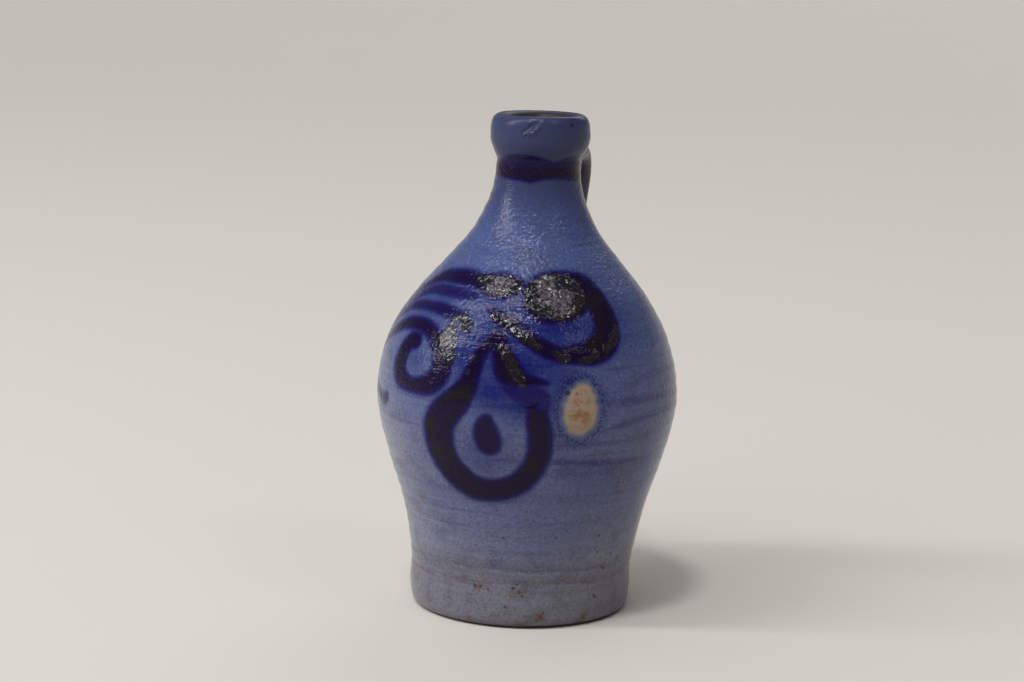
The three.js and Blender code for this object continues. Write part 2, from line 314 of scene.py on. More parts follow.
    "span": {"from": 50, "to": 152, "azimuth": 100},  # the strokes lie between these heights, this far round
    # between these depths the crusts, the dent and the smears rise to their full height
    "crustEdge": (-0.7, 0.9),
    "dentEdge": (-0.5, 0.9),
    "smearEdge": (-0.6, 0.5),
    # the faces are finer this far round the crusts and the dent
    "crustMargin": 1.4,
    "dentMargin": 3,
}
farOut = -40.0  # the depth of a point that no stroke reaches


def strokeDepth(line, azimuth, height, radius, climb):  # how deep each point lies in the stroke
    depth = np.full(len(azimuth), farOut)
    for turn, level, half in smoothLine(line, 14):
        across = np.radians((azimuth - turn + 180) % 360 - 180) * radius
        depth = np.maximum(depth, half - np.hypot(across, (height - level) * climb))
    return depth


def surfacePlaces(points):  # azimuth, height, radius about the leaning axis, and how steeply the wall leans
    height = points[:, 2]
    x = points[:, 0] - leanAt(height)
    return (np.degrees(np.arctan2(x, -points[:, 1])), height, np.hypot(x, points[:, 1]),
            np.hypot(1, wallSlope(height)))


def crustFields(here):  # depth in the crusts, how high they stand and how wide their lumps are
    depth = np.full(len(here[0]), farOut)
    lift = np.zeros(len(depth))
    lumps = np.ones(len(depth))
    turn, level = here[0] * 0.9, here[1]  # both in millimetres, more or less, for an uneven edge
    ragged = 0.7 * np.sin(turn + 0.6 * level) + 0.5 * np.sin(1.9 * turn - 1.2 * level + 1)
    ragged += 0.35 * np.sin(0.7 * turn + 2.3 * level + 2)
    for high, lump, line in ornament["crusts"].values():
        deep = strokeDepth(line, *here) + ragged * ornament["crustRaggedness"]
        lift = np.where(deep > depth, high, lift)
        lumps = np.where(deep > depth, lump, lumps)
        depth = np.maximum(depth, deep)
    return depth, lift, lumps


def blobs(azimuth, height, spots):  # soft round spots laid over each other
    total = np.zeros(len(azimuth))
    for turn, level, wide, tall, strength in spots:
        away = np.hypot((azimuth - turn) / wide, (height - level) / tall)
        total = 1 - (1 - total) * (1 - strength * np.exp(-away ** 2))
    return total


def addField(mesh, name, values):
    field = mesh.attributes.new(name, "FLOAT", "POINT")
    field.data.foreach_set("value", np.asarray(values, np.float32))


def paintFields(mesh):  # stores where the cobalt, the crusts and the scar lie
    points = np.zeros(len(mesh.vertices) * 3)
    mesh.vertices.foreach_get("co", points)
    places = surfacePlaces(points.reshape(-1, 3) / mm)
    azimuth, height, radius, climb = places
    outside = isOuter(radius, height)
    onWall = outside & (radius < wallRadius(height) + ornament["paintReach"])
    span = ornament["span"]
    near = onWall & (height > span["from"]) & (height < span["to"]) & (np.abs(azimuth) < span["azimuth"])
    here = [values[near] for values in places]
    paint = np.full(len(azimuth), farOut)
    load = np.zeros(len(azimuth))
    for strength, line in ornament["strokes"].values():
        depth = strokeDepth(line, *here)
        load[near] = np.where(depth > paint[near], strength, load[near])
        paint[near] = np.maximum(paint[near], depth)
    for strength, line in ornament["neckBands"]:
        edges = np.array(line, float)
        low = np.interp(azimuth, edges[:, 0], edges[:, 1])
        high = np.interp(azimuth, edges[:, 0], edges[:, 2])
        band = np.minimum(height - low, high - height) * ornament["bandSharpness"]
        band = np.where(onWall, band, farOut)
        load = np.where(band > paint, strength, load)
        paint = np.maximum(paint, band)
    crust = np.full(len(azimuth), farOut)
    crust[near] = crustFields(here)[0]
    wipe = np.zeros(len(azimuth))
    for strength, line in ornament["wipes"]:
        depth = strokeDepth(line, *here)
        wipe[near] = np.maximum(wipe[near], strength * np.clip(0.5 + depth / ornament["wipeSoftness"], 0, 1))
    crest = body["crest"]
    across = (radius - crest["radius"]) / crest["halfWidth"]
    up = (height - crest["height"]) / crest["halfHeight"]
    shadeTop, shadeFade = body["mouthShade"]
    addField(mesh, "paint", paint)
    addField(mesh, "load", load)
    addField(mesh, "crust", crust)
    addField(mesh, "cover", blobs(azimuth, height, ornament["paleSkinAndSheen"]))
    addField(mesh, "wash", blobs(azimuth, height, ornament["washes"]) * onWall)
    addField(mesh, "wipe", wipe)
    addField(mesh, "paintedLight", blobs(azimuth, height, ornament["paintedLightPlaces"]) * onWall)
    for name in ("bare", "dent"):
        addField(mesh, name, np.where(outside, strokeDepth(ornament[name], *places), farOut))
    addField(mesh, "crest", 1 - np.hypot(across, up))
    addField(mesh, "outside", np.where(outside, 1, np.clip((height - shadeTop) / shadeFade, 0, 1)))
    addField(mesh, "proud", (radius - wallRadius(height)) / climb)


# Mesh building

def newObject(name, data):
    made = bpy.data.objects.new(name, data)
    bpy.context.scene.collection.objects.link(made)
    return made


def meshObject(name, mesh):
    data = bpy.data.meshes.new(name)
    mesh.to_mesh(data)
    mesh.free()
    return newObject(name, data)


def turned(profile, steps, merge):  # spins a profile of radii and heights, in metres, round the axis
    mesh = bmesh.new()
    verts = [mesh.verts.new((out, 0, up)) for out, up in profile]
    edges = [mesh.edges.new(pair) for pair in zip(verts, verts[1:])]
    bmesh.ops.spin(mesh, geom=verts + edges, axis=(0, 0, 1), cent=(0, 0, 0), steps=steps,
                   angle=2 * math.pi, use_merge=True)
    bmesh.ops.remove_doubles(mesh, verts=mesh.verts, dist=merge)
    return mesh


def finishedPiece(name, mesh, node):
    for face in mesh.faces:
        face.smooth = True
    piece = meshObject(name, mesh)
    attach(piece, "root")
    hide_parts(node)
    return piece


def thrownShell():
    profile = [(radius * mm, height * mm) for radius, height in bodyOutline()]
    mesh = turned(profile, body["columns"], 0.001 * mm)
    bmesh.ops.recalc_face_normals(mesh, faces=mesh.faces)
    return mesh


def wobble(waves, turn, height):
    return sum(size * math.sin(count * turn + phase + height / span) for size, count, phase, span in waves)


def handWork(mesh):  # throwing rings, a slight wobble and the lean of the axis
    low, high = body["ringSpan"]
    fadeIn, fadeOut = body["ringFade"]
    for vert in mesh.verts:
        height = vert.co.z / mm
        radius = math.hypot(vert.co.x, vert.co.y) / mm
        turn = math.atan2(vert.co.x, -vert.co.y)
        push = 0
        if isOuter(radius, height) and low < height < high:
            fade = min(1, (height - low) / fadeIn, (high - height) / fadeOut)
            # the spiral of the fingers, with a slower one over it, stronger and weaker in places
            climb = height / body["ringRise"] + turn / (2 * math.pi)
            rings = math.sin(2 * math.pi * climb) + 0.6 * math.sin(2 * math.pi * 0.37 * climb + 1.3)
            drift = 0.6 + 0.4 * math.sin(height / 17 + 2 * math.sin(turn))
            push = body["ringDepth"] * rings * drift * fade
            push += wobble(body["wobble"], turn, height)
            if height > body["collarFrom"]:
                push += wobble(body["collarWobble"], turn, height)
        scale = 1 + push / radius if radius > 1 else 1
        vert.co.x = vert.co.x * scale + float(leanAt(height)) * mm
        vert.co.y *= scale


def reachOf(place):  # the axis at a point's height, and the way from there out to the point
    axis = Vector((float(leanAt(place.z / mm)) * mm, 0))
    return axis, place.xy - axis


def keptInWall(place, deepest):  # moves a point out to where it is at most this deep under the outer face
    height = place.z / mm
    axis, reach = reachOf(place)
    least = (float(wallRadius(height)) - deepest * math.hypot(1, float(wallSlope(height)))) * mm
    if reach.length < least:
        reach = reach.normalized() * least
        place.xy = axis + reach


def rise(depth, low, high):  # 0 below low, 1 above high, smooth between
    share = np.clip((depth - low) / (high - low), 0, 1)
    return share * share * (3 - 2 * share)


def wallPoints(mesh):
    return surfacePlaces(np.array([vert.co[:] for vert in mesh.verts]) / mm)


def boiledCrusts(mesh):  # finer faces at the crusts and the dent, then the lumps themselves
    here = wallPoints(mesh)
    fine = crustFields(here)[0] > -ornament["crustMargin"]
    fine |= strokeDepth(ornament["dent"], *here) > -ornament["dentMargin"]
    fine &= isOuter(here[2], here[1])
    edges = [edge for edge in mesh.edges if fine[edge.verts[0].index] and fine[edge.verts[1].index]]
    bmesh.ops.subdivide_edges(mesh, edges=edges, cuts=2, use_grid_fill=True)
    mesh.normal_update()
    here = wallPoints(mesh)
    crust, lift, lumps = crustFields(here)
    wall = isOuter(here[2], here[1])
    noise.seed_set(ornament["seed"])
    uneven = np.array([noise.noise(vert.co / (0.9 * mm)) for vert in mesh.verts])
    smear = rise(strokeDepth(ornament["smears"], *here) + uneven, *ornament["smearEdge"])
    dent = rise(strokeDepth(ornament["dent"], *here) + uneven, *ornament["dentEdge"])
    push = (ornament["smearHeight"] * smear - ornament["dentDepth"] * dent) * wall
    height = rise(crust, *ornament["crustEdge"]) * lift * wall
    for vert, out, lump, size in zip(mesh.verts, push, height, lumps):
        if lump > 0:
            # warped cells with creases between them, under two sizes of softer noise
            place = vert.co / (float(size) * mm)
            near, far = noise.voronoi(place + noise.noise_vector(place * 0.7) * 0.6)[0][:2]
            bubble = min(1, (far - near) * 1.6)
            lump *= 0.25 + 0.6 * bubble + 0.5 * noise.noise(place * 0.6) + 0.4 * noise.noise(place * 1.9)
        vert.co += vert.normal * (out + lump) * mm


shell = thrownShell()
handWork(shell)
boiledCrusts(shell)
thrownBody = finishedPiece("thrown_body_glazed", shell, "thrown_body")
paintFields(thrownBody.data)
print("body", len(thrownBody.data.polygons), "faces")


# The pulled strap handle

handle = {
    "line": [  # its middle: distance behind the axis, and height
        (10, 184.5), (20.5, 187.5), (30.5, 191.5), (39.5, 190), (45.5, 183), (47, 171.5), (46.1, 158.5),
        (45.6, 145.5), (46.1, 139), (47.7, 133), (48.6, 129),
    ],
    "top": 191.5,
    "bottom": 141,
    "widthAtNeck": 26,
    "widthAtShoulder": 18.5,
    "thickness": 8,
    "channelDepth": 1.0,  # left by the thumb along the outer face
    "channelShape": 1.5,
    "deepest": 3.2,  # its ends sink this far into the wall
    "parts": 6,  # points of the line from one station to the next
    "cornerPoints": 9,
    "flatPoints": 14,
    "ridgeHeight": 0.16,  # long fine ridges from pulling
    "ridges": 9,
    "waver": 0.25,  # its width varies this much along the pull
}


def strapSection(width, grow):  # across the strap: rounded edges and a shallow channel on the outer face
    deep = handle["thickness"] / 2 + grow
    flat = width / 2 + grow - deep
    section = []
    for side, start in ((1, -90), (-1, 90)):
        for i in range(handle["cornerPoints"]):
            angle = math.radians(start + 180 * i / (handle["cornerPoints"] - 1))
            section.append((side * flat + deep * math.cos(angle), deep * math.sin(angle)))
        for i in range(1, handle["flatPoints"]):
            share = 1 - 2 * i / handle["flatPoints"]
            dip = handle["channelDepth"] * (1 - share ** 2) ** handle["channelShape"] if side == 1 else 0
            dip += handle["ridgeHeight"] * math.sin(handle["ridges"] * share + side) * (1 - share ** 2)
            section.append((side * share * flat, side * deep - dip))
    return section


def strapWidth(height):
    drop = min(max((handle["top"] - height) / (handle["top"] - handle["bottom"]), 0), 1)
    return handle["widthAtShoulder"] + (handle["widthAtNeck"] - handle["widthAtShoulder"]) * (1 - drop) ** 2


def strapMesh(line, grow):
    mesh = bmesh.new()
    count = len(strapSection(handle["widthAtNeck"], grow))
    ring = bmesh.ops.create_circle(mesh, segments=count, radius=mm, cap_ends=True)["verts"]
    bmesh.ops.reverse_faces(mesh, faces=mesh.faces)
    cap = list(mesh.faces)
    inner = []
    for i, (back, height) in enumerate(line):
        after, before = line[min(i + 1, len(line) - 1)], line[max(i - 1, 0)]
        run = Vector((0, after[0] - before[0], after[1] - before[1])).normalized()
        outward = Vector((0, -run.z, run.y))
        if i > 0:
            inner += cap if i > 1 else []
            grown = bmesh.ops.extrude_face_region(mesh, geom=cap)["geom"]
            cap = [item for item in grown if isinstance(item, bmesh.types.BMFace)]
            ring = list(cap[0].verts)
        width = strapWidth(height) + handle["waver"] * math.sin(i * 0.31)
        centre = Vector((float(leanAt(height)), back, height))
        for vert, (across, out) in zip(ring, strapSection(width, grow)):
            vert.co = (centre + Vector((across, 0, 0)) + outward * out) * mm
    bmesh.ops.delete(mesh, geom=inner, context="FACES_ONLY")
    bmesh.ops.recalc_face_normals(mesh, faces=mesh.faces)
    return mesh


strapLine = [tuple(point) for point in smoothLine(handle["line"], handle["parts"])]
strap = strapMesh(strapLine, 0)
for vert in strap.verts:
    keptInWall(vert.co, handle["deepest"])
strapHandle = finishedPiece("handle_pulled", strap, "handle")
rounding = strapHandle.modifiers.new("rounding", "SUBSURF")
rounding.levels = rounding.render_levels = 1
paintFields(strapHandle.data)
print("handle", len(strapHandle.data.polygons), "faces")


# The soft clay that fills both joints and is wiped out over the wall

joints = {  # each is an ellipsoid, tilted in radians, with a sleeve round some points of the strap's line
    "upper_joint_clay": {
        "size": (14.8, 6.6, 7.4), "centre": (16.5, 187), "tilt": 0, "ends": (0, 9), "grow": 0.5,
    },
    "lower_joint_clay": {
        "size": (12, 14.4, 3.4), "centre": (45.2, 137.5), "tilt": -0.87, "ends": (44, 61), "grow": 0.5,
    },
    "voxel": 0.6,
    "smoothing": 14,
    "deepest": 2.2,  # the clay sinks this far into the wall
    "feather": 2.4,  # clay that stands off the wall less than this is wiped thinner towards its edge
    "featherShape": 0.7,
}


def wipedThin(place):  # presses the rim of the clay down on the wall
    height = place.z / mm
    axis, reach = reachOf(place)
    level = math.hypot(1, float(wallSlope(height)))
    proud = (reach.length / mm - float(wallRadius(height))) / level
    if 0 < proud < joints["feather"]:
        lower = proud - proud * (proud / joints["feather"]) ** joints["featherShape"]
        place.xy = axis + reach.normalized() * (reach.length - lower * level * mm)


def jointClay(name):
    look = joints[name]
    mesh = strapMesh(strapLine[look["ends"][0]:look["ends"][1]], look["grow"])
    pad = bmesh.ops.create_uvsphere(mesh, u_segments=48, v_segments=28, radius=mm)["verts"]
    bmesh.ops.scale(mesh, vec=look["size"], verts=pad)
    back, height = look["centre"]
    cosine, sine = math.cos(look["tilt"]), math.sin(look["tilt"])
    for vert in pad:
        y, z = vert.co.y, vert.co.z
        vert.co.y = y * cosine - z * sine + back * mm
        vert.co.z = y * sine + z * cosine + height * mm
        vert.co.x += float(leanAt(height)) * mm
    rough = meshObject(name + "_rough", mesh)
    melt = rough.modifiers.new("melt", "REMESH")
    melt.mode = "VOXEL"
    melt.voxel_size = joints["voxel"] * mm
    wipe = rough.modifiers.new("wipe", "SMOOTH")
    wipe.factor = 0.5
    wipe.iterations = joints["smoothing"]
    melted = bmesh.new()
    melted.from_object(rough, bpy.context.evaluated_depsgraph_get())
    bpy.data.objects.remove(rough)
    for vert in melted.verts:
        keptInWall(vert.co, joints["deepest"])
        wipedThin(vert.co)
    return finishedPiece(name + "_wiped", melted, name)


jointPieces = [jointClay("upper_joint_clay"), jointClay("lower_joint_clay")]
for piece in jointPieces:
    paintFields(piece.data)
    print(piece.name, len(piece.data.polygons), "faces")


# Shader maths on sockets

class Wire:
    def __init__(self, tree, socket=None):
        self.tree = tree
        self.socket = socket

    def node(self, kind, settings={}, sockets={}, output=0):
        made = self.tree.nodes.new(kind)
        for name, value in settings.items():
            setattr(made, name, value)
        for name, value in sockets.items():
            if isinstance(value, Wire):
                self.tree.links.new(value.socket, made.inputs[name])
            else:
                made.inputs[name].default_value = value
        return Wire(self.tree, made.outputs[output] if made.outputs else None)

    def sum(self, operation, first, second):
        return self.node("ShaderNodeMath", {"operation": operation}, {0: first, 1: second})

    def __add__(self, other):
        return self.sum("ADD", self, other)

    def __radd__(self, other):
        return self.sum("ADD", other, self)

    def __sub__(self, other):
        return self.sum("SUBTRACT", self, other)

    def __rsub__(self, other):
        return self.sum("SUBTRACT", other, self)

    def __mul__(self, other):
        return self.sum("MULTIPLY", self, other)

    def __rmul__(self, other):
        return self.sum("MULTIPLY", other, self)

    def above(self, low, high):  # 0 below low, 1 above high, smooth between
        return self.node("ShaderNodeMapRange", {"interpolation_type": "SMOOTHSTEP"},
                         {"Value": self, "From Min": low, "From Max": high})

    def larger(self, other):
        return self.sum("MAXIMUM", self, other)

    def blend(self, under, over):  # this mask lays one colour over another
        return self.node("ShaderNodeMix", {"data_type": "RGBA"}, {0: self, 6: under, 7: over}, 2)

    def field(self, name):
        return self.node("ShaderNodeAttribute", {"attribute_name": name}, {}, "Fac")

    def noise(self, place, size, detail=2, stretch=(1, 1, 1), rough=0.5):
        sockets = {"Vector": place, "Scale": stretch}
        placed = self.node("ShaderNodeMapping", {"vector_type": "POINT"}, sockets)
        sockets = {"Vector": placed, "Scale": 1 / (size * mm), "Detail": detail, "Roughness": rough}
        return self.node("ShaderNodeTexNoise", {}, sockets, "Fac")

    def cells(self, place, size):
        sockets = {"Vector": place, "Scale": 1 / (size * mm)}
        return self.node("ShaderNodeTexVoronoi", {"feature": "F1"}, sockets, "Distance")


def blankSheet(name):  # a material with nothing in it, and a wire to fill it
    sheet = bpy.data.materials.new(name)
    sheet.use_nodes = True
    sheet.node_tree.nodes.clear()
    return sheet, Wire(sheet.node_tree)


def colour(red, green, blue):  # from screen values of 0 to 255
    parts = [value / 255 for value in (red, green, blue)]
    return (*[part / 12.92 if part <= 0.04045 else ((part + 0.055) / 1.055) ** 2.4 for part in parts], 1)


# Salt glaze over grey stoneware, with cobalt

glaze = {
    "collar": colour(46, 53, 84),
    "shoulder": colour(63, 76, 121),
    "belly": colour(88, 95, 130),
    "foot": colour(106, 104, 110),
    # smoky grey for mottling and grain, and also painted shade in the grooves and in the dent
    "smokeAndShade": colour(56, 52, 68),
    "pale": colour(122, 126, 146),
    # a lighter ground for painted light on the lit side
    "paintedLight": colour(142, 144, 156),
    "wiped": colour(50, 48, 96),
    "toast": colour(92, 74, 66),
    "wash": colour(4, 15, 86),
    "fringe": colour(16, 3, 70),
    "thick": colour(12, 1, 36),
    "oliveThick": colour(22, 15, 14),
    "crustDark": colour(15, 11, 13),
    # pale crust: pale glaze, and painted sheen where the light falls on the crusts
    "crustPaleAndSheen": colour(92, 90, 98),
    "crustBrown": colour(66, 58, 52),
    "bare": colour(143, 121, 98),
    "bareEdge": colour(74, 84, 112),
    "bareSpot": colour(118, 84, 48),
    # the hollow: brown unglazed clay, darkened further as painted shade inside the jug
    "inside": colour(46, 37, 32),
    "rim": colour(44, 32, 20),
    "speck": colour(38, 27, 26),
    "strap": colour(80, 73, 84),
    "strapShare": 0,  # how much of the strap's colour shows on what stands proud of the wall
    # heights between which one colour gives way to another
    "blueBetween": (60, 135),
    "footBetween": (54, 12),
    "collarBetween": (156, 188),
    "grooveShade": {"below": 0.5, "halfWidth": 1.1},
    "index": 1.3,  # of refraction; lower than real glaze, so that the floor doesn't veil the dark strokes
    "roughness": 0.1,
    # what is added to the roughness
    "scarRough": 0.4,
    "insideRough": 0.15,
    "rimRough": 0.3,
    "collarRough": 0.08,
    "crustCoat": {"weight": 0.85, "paleLess": 0.4, "roughness": 0.1, "index": 1.36},
    # relief in millimetres: the dimpled skin and its domes, throwing lines, cobalt, crusts and the scar
    "peel": 0.5,
    "finePeel": 0.08,
    "domes": 0.2,
    "fineLines": 0.1,
    "wideLines": 0.06,
    "stain": 0.03,
    "thickPaint": 0.04,
    "wrinkles": 0.14,
    "cracks": 0.18,
    "scarGrain": 0.08,
    "scarDepth": 0.12,
}
patterns = {  # size of the blotches in millimetres, then detail, stretch and roughness of the noise
    "clouds": (38, 3),
    "blotches": (9, 4),
    "grain": (1.2, 3, (1, 1, 1), 0.65),
    "streaks": (22, 4, (1, 1, 7), 0.6),
    "bands": (60, 5, (1, 1, 22), 0.6),
    "fineBands": (40, 4, (1, 1, 70), 0.6),
    "brushEdge": (1.6, 3),
    "strokeEdge": (7, 2),
    "olive": (16, 2),
    "crustEdge": (1.8, 3),
    "patches": (7, 4, (1, 1, 1.5), 0.6),
    "wrinkles": (1.3, 3, (1, 1, 1.6), 0.6),
    "folds": (3.4, 4, (1, 1, 1.4), 0.55),
    "scarEdge": (4, 3),
    "spots": (0.9, 2),
    "stray": (1.1, 1),
    "strayZones": (30, 2),
    "peel": (1.7, 2),
    "finePeel": (0.7, 1),
}
domeSize = 1.5
specks = {  # azimuth, height and radius of small marks in the glaze, by their colour
    "speck": [
        (6, 40, 0.5), (30.5, 40.5, 0.4), (53, 39.5, 0.5), (52.5, 33.8, 0.5), (54.2, 31.9, 0.6),
        (60.7, 23.8, 0.6), (59.4, 24.6, 0.4), (64.5, 30, 0.5), (71.3, 26.5, 0.8), (56, 12.5, 0.6),
        (-8.1, 17.3, 0.8), (-5.2, 17.4, 0.6), (-1, 16.6, 0.4), (11.6, 17.9, 0.7), (14.8, 16.3, 0.8),
        (13.4, 19.4, 0.5), (16.6, 14.6, 0.6), (8.2, 9.7, 0.5), (0.4, 12.1, 0.4), (26, 5.6, 1),
        (27.4, 7.4, 0.6), (24.4, 4.4, 0.7), (50, 3.8, 0.8), (57.1, 11.6, 0.6), (76, 118, 0.7),
        (30.1, 103.2, 1.2), (33.6, 102.7, 0.5)],
    "toast": [
        (12.6, 15.4, 2.2), (17, 17.2, 1.8), (-6.6, 16.2, 1.6), (25.6, 6, 2.4), (50.4, 4.4, 2),
        (61, 25, 1.6), (-14, 20.6, 1.4)],
    "fringe": [(55.9, 207, 0.9)],
}
markStrength = {"speck": 0.85, "toast": 0.5, "fringe": 0.85}


def markPlace(azimuth, height):  # a point of the outer face
    turn = math.radians(azimuth)
    radius = float(wallRadius(height))
    return Vector((radius * math.sin(turn) + float(leanAt(height)), -radius * math.cos(turn), height)) * mm


class Skin:  # one glaze: its places, fields and noise, and the masks that one layer leaves for the next
    def __init__(self, name, look):
        self.sheet, self.wire = blankSheet(name)
        self.look = look
        self.place = self.wire.node("ShaderNodeTexCoord", {}, {}, "Object")
        self.up = self.wire.node("ShaderNodeSeparateXYZ", {}, {0: self.place}, "Z") * (1 / mm)
        self.paint = self.field("paint")
        self.load = self.field("load")
        self.outside = self.field("outside")
        self.clouds = self.noise("clouds")
        self.blotches = self.noise("blotches")
        self.grain = self.noise("grain")
        self.streaks = self.noise("streaks")
        self.bands = self.noise("bands")
        self.fineBands = self.noise("fineBands")

    def field(self, name):
        return self.wire.field(name)

    def noise(self, name):
        return self.wire.noise(self.place, *patterns[name])


def stoneware(skin):  # bluer towards the shoulder, greyer at the foot, with bands that a sponge left, and lighter places of painted light
    look, up = skin.look, skin.up
    upper = (up + (skin.clouds - 0.5) * 60 + (skin.bands - 0.5) * 30).above(*look["blueBetween"])
    lower = (up + (skin.clouds - 0.5) * 30 + (skin.blotches - 0.5) * 14).above(*look["footBetween"])
    ground = upper.blend(look["belly"], look["shoulder"])
    high = (up + (skin.clouds - 0.5) * 16).above(*look["collarBetween"])
    ground = (high * 0.9).blend(ground, look["collar"])
    ground = (lower * 0.85).blend(ground, look["foot"])
    # painted light: the ground is lighter where the light falls, mostly on the left
    ground = (skin.field("paintedLight") * skin.streaks.above(0.2, 0.6)).blend(ground, look["paintedLight"])
    ground = (skin.blotches.above(0.46, 0.7) * 0.3).blend(ground, look["smokeAndShade"])
    swept = skin.bands.above(0.5, 0.66) * skin.fineBands.above(0.4, 0.62) * (0.5 - 0.25 * lower)
    ground = swept.blend(ground, look["wiped"])
    return (skin.field("wipe") * skin.fineBands.above(0.25, 0.5) * 0.9).blend(ground, look["wiped"])


def firing(skin, ground):  # painted shade in the grooves, toasted patches at the foot, the browner strap and the grain
    look, up = skin.look, skin.up
    grooves = 0
    for groove in look["grooves"]:
        away = (up - (groove - look["grooveShade"]["below"])) * (1 / look["grooveShade"]["halfWidth"])
        grooves = grooves + (away * away).above(1, 0.1)
    # the grooves are painted darker: painted shade in them
    ground = (grooves * skin.streaks.above(0.36, 0.6) * 0.35).blend(ground, look["smokeAndShade"])
    warm = up.above(32, 24) * up.above(8, 20) * skin.streaks.above(0.42, 0.62) * 0.26
    ground = warm.blend(ground, look["toast"])
    ground = (up.above(9, 1) * skin.blotches.above(0.4, 0.6) * 0.6).blend(ground, look["toast"])
    ground = (skin.field("proud").above(1, 5) * look["strapShare"]).blend(ground, look["strap"])
    ground = (skin.grain.above(0.5, 0.7) * 0.5).blend(ground, look["smokeAndShade"])
    return (skin.grain.above(0.46, 0.3) * up.above(185, 150) * 0.35).blend(ground, look["pale"])


def cobalt(skin, ground):  # a thin bright wash, then strokes with a blue fringe and a thick dark middle
    look, load = skin.look, skin.load
    ragged = skin.paint + (skin.noise("brushEdge") - 0.5) * 0.7 + (skin.noise("strokeEdge") - 0.5) * 0.5
    wash = skin.field("wash") * (0.85 + 0.6 * (skin.streaks - 0.3))
    halo = ragged.above(-3, -0.2) * (0.6 - 0.3 * skin.up.above(176, 186))
    ground = (wash.larger(halo) * (0.8 + 0.3 * skin.grain)).blend(ground, look["wash"])
    skin.stain = ragged.above(-1.5, 0.6)
    skin.core = ragged.above(0, 1.8) * load * (0.9 + 0.2 * skin.blotches)
    olive = skin.noise("olive").above(0.5, 0.74) * load.above(0.84, 0.98)
    thick = olive.blend(look["thick"], look["oliveThick"])
    painted = (skin.stain * (0.75 + 0.25 * load)).blend(ground, look["fringe"])
    return skin.core.blend(painted, thick)


def crusts(skin, painted):  # dark boiled glaze, glossy, with pale patches that are partly pale glaze and partly painted sheen
    look = skin.look
    skin.crusted = (skin.field("crust") + (skin.noise("crustEdge") - 0.5) * 1.4).above(-0.3, 0.2)
    skin.patches = skin.noise("patches")
    skin.wrinkles = skin.noise("wrinkles")
    skin.cover = skin.field("cover")
    middle = (skin.field("crust") + (skin.wrinkles - 0.5) * 1.6).above(-0.1, 0.9)
    # the pale flecks are partly pale glaze and partly painted sheen
    driedAndSheen = (skin.patches * 0.75 + skin.wrinkles * 0.3 + skin.cover * 0.36).above(0.66, 0.8)
    skin.flecks = driedAndSheen * skin.crusted * middle
    folds = skin.noise("folds") - 0.5
    skin.cracks = (folds * folds).above(0.0016, 0.0001) * skin.crusted
    painted = (skin.crusted * 0.85).blend(painted, look["crustDark"])
    shown = skin.flecks * (1 - skin.cracks * 0.75)
    return shown.blend(painted, skin.wrinkles.above(0.36, 0.6).blend(look["crustBrown"], look["crustPaleAndSheen"]))


def scar(skin, painted):  # bare clay with a grey edge and a dark speckled halo
    look = skin.look
    bare = skin.field("bare") + (skin.noise("scarEdge") - 0.5) * 3
    spots = skin.noise("spots")
    spotted = spots.above(0.46, 0.56) * bare.above(-6, -1) * (1 - bare.above(-0.6, 0.6))
    painted = (spotted * 0.75).blend(painted, look["fringe"])
    clay = bare.above(0.2, 2.6).blend(look["bareEdge"], look["bare"])
    clay = (spots.above(0.46, 0.66) * bare.above(0.6, 3) * 0.5).blend(clay, look["pale"])
    rusty = bare.above(2, 6) * (skin.patches * 0.6 + spots * 0.4).above(0.44, 0.56) * 0.8
    clay = rusty.blend(clay, look["bareSpot"])
    skin.bared = bare.above(-1.6, 1.2)
    return skin.bared.blend(painted, clay)


def smallMarks(skin, painted):  # specks and toasted spots, strays between them, and painted shade in the dent on the collar
    look = skin.look
    for shade, marks in look["marks"].items():
        dots = 0
        for azimuth, height, radius in marks:
            sockets = {0: skin.place, 1: markPlace(azimuth, height)}
            away = skin.wire.node("ShaderNodeVectorMath", {"operation": "DISTANCE"}, sockets, "Value")
            away = away * (1 / mm) + (skin.wrinkles - 0.5) * 2.4 * min(radius, 1.2)
            dots = away.above(radius + 0.5, radius - 0.5).larger(dots)
        painted = (dots * markStrength[shade]).blend(painted, look[shade])
    stray = skin.noise("stray").above(0.75, 0.79) * skin.noise("strayZones").above(0.5, 0.7) * 0.6
    painted = stray.blend(painted, look["speck"])
    # the dent is painted darker: painted shade in its hollow
    return (skin.field("dent").above(-0.9, 0.4) * 0.6).blend(painted, look["smokeAndShade"])


def rims(skin, painted):  # the hollow, brown clay darkened as painted shade, and the dark brown edges of the mouth and the foot
    look = skin.look
    # the hollow is painted dark: unglazed clay and painted shade
    painted = skin.outside.blend(look["inside"], painted)
    crest = (skin.field("crest") + (skin.blotches - 0.5) * 0.5).above(0.05, 0.5)
    painted = (crest * 0.9).blend(painted, look["rim"])
    skin.rim = (skin.up + (skin.blotches - 0.5) * 1.2).above(1.7, 0.9)
    return (skin.rim * 0.9).blend(painted, look["rim"])


